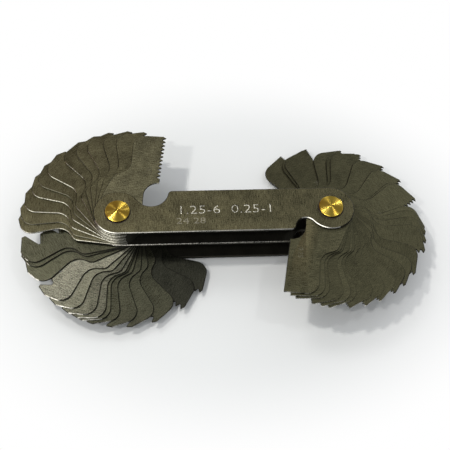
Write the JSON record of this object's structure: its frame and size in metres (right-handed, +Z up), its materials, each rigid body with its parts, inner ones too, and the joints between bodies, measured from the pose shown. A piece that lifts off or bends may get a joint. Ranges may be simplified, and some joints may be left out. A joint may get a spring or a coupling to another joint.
{
  "type": "screw pitch gauge",
  "caption": "Double-ended screw pitch gauge: a riveted three-plate steel case with brass-headed rivets; toothed metric leaves fan out above and inch leaves below, at both ends",
  "frame": {"origin": "centre of the flat foot of the left rivet, the face the gauge stands on", "axes": "+X runs along the case to the right rivet; +Z runs up through the stack of leaves to the turned heads; +Y is to the side that the metric leaves of the left end are swung to"},
  "size_m": [0.1127, 0.0561, 0.0174],
  "materials": {
    "case_steel": "satin",
    "leaf_steel": "satin",
    "brass": "polished"
  },
  "bodies": {
    "case": {"upper_cover": "case_steel", "divider_plate": "case_steel", "lower_cover": "case_steel", "left_rivet": "brass", "right_rivet": "brass"},
    "metric_leaf_1p25mm_body": {"metric_leaf_1p25mm": "leaf_steel"},
    "metric_leaf_1p5mm_body": {"metric_leaf_1p5mm": "leaf_steel"},
    "metric_leaf_1p75mm_body": {"metric_leaf_1p75mm": "leaf_steel"},
    "metric_leaf_2mm_body": {"metric_leaf_2mm": "leaf_steel"},
    "metric_leaf_2p5mm_body": {"metric_leaf_2p5mm": "leaf_steel"},
    "metric_leaf_3mm_body": {"metric_leaf_3mm": "leaf_steel"},
    "metric_leaf_3p5mm_body": {"metric_leaf_3p5mm": "leaf_steel"},
    "metric_leaf_4mm_body": {"metric_leaf_4mm": "leaf_steel"},
    "metric_leaf_4p5mm_body": {"metric_leaf_4p5mm": "leaf_steel"},
    "metric_leaf_5mm_body": {"metric_leaf_5mm": "leaf_steel"},
    "metric_leaf_5p5mm_body": {"metric_leaf_5p5mm": "leaf_steel"},
    "metric_leaf_6mm_body": {"metric_leaf_6mm": "leaf_steel"},
    "metric_leaf_0p25mm_body": {"metric_leaf_0p25mm": "leaf_steel"},
    "metric_leaf_0p3mm_body": {"metric_leaf_0p3mm": "leaf_steel"},
    "metric_leaf_0p35mm_body": {"metric_leaf_0p35mm": "leaf_steel"},
    "metric_leaf_0p4mm_body": {"metric_leaf_0p4mm": "leaf_steel"},
    "metric_leaf_0p45mm_body": {"metric_leaf_0p45mm": "leaf_steel"},
    "metric_leaf_0p5mm_body": {"metric_leaf_0p5mm": "leaf_steel"},
    "metric_leaf_0p6mm_body": {"metric_leaf_0p6mm": "leaf_steel"},
    "metric_leaf_0p7mm_body": {"metric_leaf_0p7mm": "leaf_steel"},
    "metric_leaf_0p75mm_body": {"metric_leaf_0p75mm": "leaf_steel"},
    "metric_leaf_0p8mm_body": {"metric_leaf_0p8mm": "leaf_steel"},
    "metric_leaf_0p9mm_body": {"metric_leaf_0p9mm": "leaf_steel"},
    "metric_leaf_1mm_body": {"metric_leaf_1mm": "leaf_steel"},
    "inch_leaf_4tpi_body": {"inch_leaf_4tpi": "leaf_steel"},
    "inch_leaf_4p5tpi_body": {"inch_leaf_4p5tpi": "leaf_steel"},
    "inch_leaf_5tpi_body": {"inch_leaf_5tpi": "leaf_steel"},
    "inch_leaf_6tpi_body": {"inch_leaf_6tpi": "leaf_steel"},
    "inch_leaf_7tpi_body": {"inch_leaf_7tpi": "leaf_steel"},
    "inch_leaf_8tpi_body": {"inch_leaf_8tpi": "leaf_steel"},
    "inch_leaf_9tpi_body": {"inch_leaf_9tpi": "leaf_steel"},
    "inch_leaf_10tpi_body": {"inch_leaf_10tpi": "leaf_steel"},
    "inch_leaf_11tpi_body": {"inch_leaf_11tpi": "leaf_steel"},
    "inch_leaf_12tpi_body": {"inch_leaf_12tpi": "leaf_steel"},
    "inch_leaf_13tpi_body": {"inch_leaf_13tpi": "leaf_steel"},
    "inch_leaf_14tpi_body": {"inch_leaf_14tpi": "leaf_steel"},
    "inch_leaf_16tpi_body": {"inch_leaf_16tpi": "leaf_steel"},
    "inch_leaf_18tpi_body": {"inch_leaf_18tpi": "leaf_steel"},
    "inch_leaf_19tpi_body": {"inch_leaf_19tpi": "leaf_steel"},
    "inch_leaf_20tpi_body": {"inch_leaf_20tpi": "leaf_steel"},
    "inch_leaf_22tpi_body": {"inch_leaf_22tpi": "leaf_steel"},
    "inch_leaf_24tpi_body": {"inch_leaf_24tpi": "leaf_steel"},
    "inch_leaf_25tpi_body": {"inch_leaf_25tpi": "leaf_steel"},
    "inch_leaf_26tpi_body": {"inch_leaf_26tpi": "leaf_steel"},
    "inch_leaf_28tpi_body": {"inch_leaf_28tpi": "leaf_steel"},
    "inch_leaf_30tpi_body": {"inch_leaf_30tpi": "leaf_steel"},
    "inch_leaf_32tpi_body": {"inch_leaf_32tpi": "leaf_steel"},
    "inch_leaf_36tpi_body": {"inch_leaf_36tpi": "leaf_steel"},
    "inch_leaf_40tpi_body": {"inch_leaf_40tpi": "leaf_steel"},
    "inch_leaf_48tpi_body": {"inch_leaf_48tpi": "leaf_steel"},
    "inch_leaf_60tpi_body": {"inch_leaf_60tpi": "leaf_steel"},
    "inch_leaf_62tpi_body": {"inch_leaf_62tpi": "leaf_steel"}
  },
  "joints": [
    {"name": "metric_leaf_1p25mm_pivot", "type": "hinge", "parent": "case", "child": "metric_leaf_1p25mm_body", "pos_m": [0, 0, 0.01516], "axis": [0, 0, 1], "range_deg": [-66, 294]},
    {"name": "metric_leaf_1p5mm_pivot", "type": "hinge", "parent": "case", "child": "metric_leaf_1p5mm_body", "pos_m": [0, 0, 0.01466], "axis": [0, 0, 1], "range_deg": [-78, 282]},
    {"name": "metric_leaf_1p75mm_pivot", "type": "hinge", "parent": "case", "child": "metric_leaf_1p75mm_body", "pos_m": [0, 0, 0.01418], "axis": [0, 0, 1], "range_deg": [-87, 273]},
    {"name": "metric_leaf_2mm_pivot", "type": "hinge", "parent": "case", "child": "metric_leaf_2mm_body", "pos_m": [0, 0, 0.01368], "axis": [0, 0, 1], "range_deg": [-98, 262]},
    {"name": "metric_leaf_2p5mm_pivot", "type": "hinge", "parent": "case", "child": "metric_leaf_2p5mm_body", "pos_m": [0, 0, 0.0132], "axis": [0, 0, 1], "range_deg": [-106, 254]},
    {"name": "metric_leaf_3mm_pivot", "type": "hinge", "parent": "case", "child": "metric_leaf_3mm_body", "pos_m": [0, 0, 0.0127], "axis": [0, 0, 1], "range_deg": [-115, 245]},
    {"name": "metric_leaf_3p5mm_pivot", "type": "hinge", "parent": "case", "child": "metric_leaf_3p5mm_body", "pos_m": [0, 0, 0.01222], "axis": [0, 0, 1], "range_deg": [-129, 231]},
    {"name": "metric_leaf_4mm_pivot", "type": "hinge", "parent": "case", "child": "metric_leaf_4mm_body", "pos_m": [0, 0, 0.01172], "axis": [0, 0, 1], "range_deg": [-138, 222]},
    {"name": "metric_leaf_4p5mm_pivot", "type": "hinge", "parent": "case", "child": "metric_leaf_4p5mm_body", "pos_m": [0, 0, 0.01124], "axis": [0, 0, 1], "range_deg": [-146, 214]},
    {"name": "metric_leaf_5mm_pivot", "type": "hinge", "parent": "case", "child": "metric_leaf_5mm_body", "pos_m": [0, 0, 0.01074], "axis": [0, 0, 1], "range_deg": [-157, 203]},
    {"name": "metric_leaf_5p5mm_pivot", "type": "hinge", "parent": "case", "child": "metric_leaf_5p5mm_body", "pos_m": [0, 0, 0.01026], "axis": [0, 0, 1], "range_deg": [-166, 194]},
    {"name": "metric_leaf_6mm_pivot", "type": "hinge", "parent": "case", "child": "metric_leaf_6mm_body", "pos_m": [0, 0, 0.00976], "axis": [0, 0, 1], "range_deg": [-172, 188]},
    {"name": "metric_leaf_0p25mm_pivot", "type": "hinge", "parent": "case", "child": "metric_leaf_0p25mm_body", "pos_m": [0.0575, 0, 0.01516], "axis": [0, 0, 1], "range_deg": [-63, 297]},
    {"name": "metric_leaf_0p3mm_pivot", "type": "hinge", "parent": "case", "child": "metric_leaf_0p3mm_body", "pos_m": [0.0575, 0, 0.01466], "axis": [0, 0, 1], "range_deg": [-67, 293]},
    {"name": "metric_leaf_0p35mm_pivot", "type": "hinge", "parent": "case", "child": "metric_leaf_0p35mm_body", "pos_m": [0.0575, 0, 0.01418], "axis": [0, 0, 1], "range_deg": [-70, 290]},
    {"name": "metric_leaf_0p4mm_pivot", "type": "hinge", "parent": "case", "child": "metric_leaf_0p4mm_body", "pos_m": [0.0575, 0, 0.01368], "axis": [0, 0, 1], "range_deg": [-79, 281]},
    {"name": "metric_leaf_0p45mm_pivot", "type": "hinge", "parent": "case", "child": "metric_leaf_0p45mm_body", "pos_m": [0.0575, 0, 0.0132], "axis": [0, 0, 1], "range_deg": [-84, 276]},
    {"name": "metric_leaf_0p5mm_pivot", "type": "hinge", "parent": "case", "child": "metric_leaf_0p5mm_body", "pos_m": [0.0575, 0, 0.0127], "axis": [0, 0, 1], "range_deg": [-88, 272]},
    {"name": "metric_leaf_0p6mm_pivot", "type": "hinge", "parent": "case", "child": "metric_leaf_0p6mm_body", "pos_m": [0.0575, 0, 0.01222], "axis": [0, 0, 1], "range_deg": [-99, 261]},
    {"name": "metric_leaf_0p7mm_pivot", "type": "hinge", "parent": "case", "child": "metric_leaf_0p7mm_body", "pos_m": [0.0575, 0, 0.01172], "axis": [0, 0, 1], "range_deg": [-108, 252]},
    {"name": "metric_leaf_0p75mm_pivot", "type": "hinge", "parent": "case", "child": "metric_leaf_0p75mm_body", "pos_m": [0.0575, 0, 0.01124], "axis": [0, 0, 1], "range_deg": [-117, 243]},
    {"name": "metric_leaf_0p8mm_pivot", "type": "hinge", "parent": "case", "child": "metric_leaf_0p8mm_body", "pos_m": [0.0575, 0, 0.01074], "axis": [0, 0, 1], "range_deg": [-127, 233]},
    {"name": "metric_leaf_0p9mm_pivot", "type": "hinge", "parent": "case", "child": "metric_leaf_0p9mm_body", "pos_m": [0.0575, 0, 0.01026], "axis": [0, 0, 1], "range_deg": [-135, 225]},
    {"name": "metric_leaf_1mm_pivot", "type": "hinge", "parent": "case", "child": "metric_leaf_1mm_body", "pos_m": [0.0575, 0, 0.00976], "axis": [0, 0, 1], "range_deg": [-145, 215]},
    {"name": "inch_leaf_4tpi_pivot", "type": "hinge", "parent": "case", "child": "inch_leaf_4tpi_body", "pos_m": [0, 0, 0.00834], "axis": [0, 0, 1], "range_deg": [-192, 168]},
    {"name": "inch_leaf_4p5tpi_pivot", "type": "hinge", "parent": "case", "child": "inch_leaf_4p5tpi_body", "pos_m": [0, 0, 0.00784], "axis": [0, 0, 1], "range_deg": [-195, 165]},
    {"name": "inch_leaf_5tpi_pivot", "type": "hinge", "parent": "case", "child": "inch_leaf_5tpi_body", "pos_m": [0, 0, 0.00736], "axis": [0, 0, 1], "range_deg": [-206, 154]},
    {"name": "inch_leaf_6tpi_pivot", "type": "hinge", "parent": "case", "child": "inch_leaf_6tpi_body", "pos_m": [0, 0, 0.00686], "axis": [0, 0, 1], "range_deg": [-224, 136]},
    {"name": "inch_leaf_7tpi_pivot", "type": "hinge", "parent": "case", "child": "inch_leaf_7tpi_body", "pos_m": [0, 0, 0.00637], "axis": [0, 0, 1], "range_deg": [-233, 127]},
    {"name": "inch_leaf_8tpi_pivot", "type": "hinge", "parent": "case", "child": "inch_leaf_8tpi_body", "pos_m": [0, 0, 0.00588], "axis": [0, 0, 1], "range_deg": [-242, 118]},
    {"name": "inch_leaf_9tpi_pivot", "type": "hinge", "parent": "case", "child": "inch_leaf_9tpi_body", "pos_m": [0, 0, 0.00539], "axis": [0, 0, 1], "range_deg": [-248, 112]},
    {"name": "inch_leaf_10tpi_pivot", "type": "hinge", "parent": "case", "child": "inch_leaf_10tpi_body", "pos_m": [0, 0, 0.0049], "axis": [0, 0, 1], "range_deg": [-251, 109]},
    {"name": "inch_leaf_11tpi_pivot", "type": "hinge", "parent": "case", "child": "inch_leaf_11tpi_body", "pos_m": [0, 0, 0.00441], "axis": [0, 0, 1], "range_deg": [-257, 103]},
    {"name": "inch_leaf_12tpi_pivot", "type": "hinge", "parent": "case", "child": "inch_leaf_12tpi_body", "pos_m": [0, 0, 0.00392], "axis": [0, 0, 1], "range_deg": [-268, 92]},
    {"name": "inch_leaf_13tpi_pivot", "type": "hinge", "parent": "case", "child": "inch_leaf_13tpi_body", "pos_m": [0, 0, 0.00344], "axis": [0, 0, 1], "range_deg": [-279, 81]},
    {"name": "inch_leaf_14tpi_pivot", "type": "hinge", "parent": "case", "child": "inch_leaf_14tpi_body", "pos_m": [0, 0, 0.00295], "axis": [0, 0, 1], "range_deg": [-293, 67]},
    {"name": "inch_leaf_16tpi_pivot", "type": "hinge", "parent": "case", "child": "inch_leaf_16tpi_body", "pos_m": [0, 0, 0.00246], "axis": [0, 0, 1], "range_deg": [-311, 49]},
    {"name": "inch_leaf_18tpi_pivot", "type": "hinge", "parent": "case", "child": "inch_leaf_18tpi_body", "pos_m": [0, 0, 0.00197], "axis": [0, 0, 1], "range_deg": [-326, 34]},
    {"name": "inch_leaf_19tpi_pivot", "type": "hinge", "parent": "case", "child": "inch_leaf_19tpi_body", "pos_m": [0.0575, 0, 0.00834], "axis": [0, 0, 1], "range_deg": [-163, 197]},
    {"name": "inch_leaf_20tpi_pivot", "type": "hinge", "parent": "case", "child": "inch_leaf_20tpi_body", "pos_m": [0.0575, 0, 0.00784], "axis": [0, 0, 1], "range_deg": [-170, 190]},
    {"name": "inch_leaf_22tpi_pivot", "type": "hinge", "parent": "case", "child": "inch_leaf_22tpi_body", "pos_m": [0.0575, 0, 0.00736], "axis": [0, 0, 1], "range_deg": [-176, 184]},
    {"name": "inch_leaf_24tpi_pivot", "type": "hinge", "parent": "case", "child": "inch_leaf_24tpi_body", "pos_m": [0.0575, 0, 0.00686], "axis": [0, 0, 1], "range_deg": [-180, 180]},
    {"name": "inch_leaf_25tpi_pivot", "type": "hinge", "parent": "case", "child": "inch_leaf_25tpi_body", "pos_m": [0.0575, 0, 0.00637], "axis": [0, 0, 1], "range_deg": [-200, 160]},
    {"name": "inch_leaf_26tpi_pivot", "type": "hinge", "parent": "case", "child": "inch_leaf_26tpi_body", "pos_m": [0.0575, 0, 0.00588], "axis": [0, 0, 1], "range_deg": [-202, 158]},
    {"name": "inch_leaf_28tpi_pivot", "type": "hinge", "parent": "case", "child": "inch_leaf_28tpi_body", "pos_m": [0.0575, 0, 0.00539], "axis": [0, 0, 1], "range_deg": [-216, 144]},
    {"name": "inch_leaf_30tpi_pivot", "type": "hinge", "parent": "case", "child": "inch_leaf_30tpi_body", "pos_m": [0.0575, 0, 0.0049], "axis": [0, 0, 1], "range_deg": [-230, 130]},
    {"name": "inch_leaf_32tpi_pivot", "type": "hinge", "parent": "case", "child": "inch_leaf_32tpi_body", "pos_m": [0.0575, 0, 0.00441], "axis": [0, 0, 1], "range_deg": [-246, 114]},
    {"name": "inch_leaf_36tpi_pivot", "type": "hinge", "parent": "case", "child": "inch_leaf_36tpi_body", "pos_m": [0.0575, 0, 0.00392], "axis": [0, 0, 1], "range_deg": [-249, 111]},
    {"name": "inch_leaf_40tpi_pivot", "type": "hinge", "parent": "case", "child": "inch_leaf_40tpi_body", "pos_m": [0.0575, 0, 0.00344], "axis": [0, 0, 1], "range_deg": [-258, 102]},
    {"name": "inch_leaf_48tpi_pivot", "type": "hinge", "parent": "case", "child": "inch_leaf_48tpi_body", "pos_m": [0.0575, 0, 0.00295], "axis": [0, 0, 1], "range_deg": [-279, 81]},
    {"name": "inch_leaf_60tpi_pivot", "type": "hinge", "parent": "case", "child": "inch_leaf_60tpi_body", "pos_m": [0.0575, 0, 0.00246], "axis": [0, 0, 1], "range_deg": [-281, 79]},
    {"name": "inch_leaf_62tpi_pivot", "type": "hinge", "parent": "case", "child": "inch_leaf_62tpi_body", "pos_m": [0.0575, 0, 0.00197], "axis": [0, 0, 1], "range_deg": [-295, 65]}
  ]
}
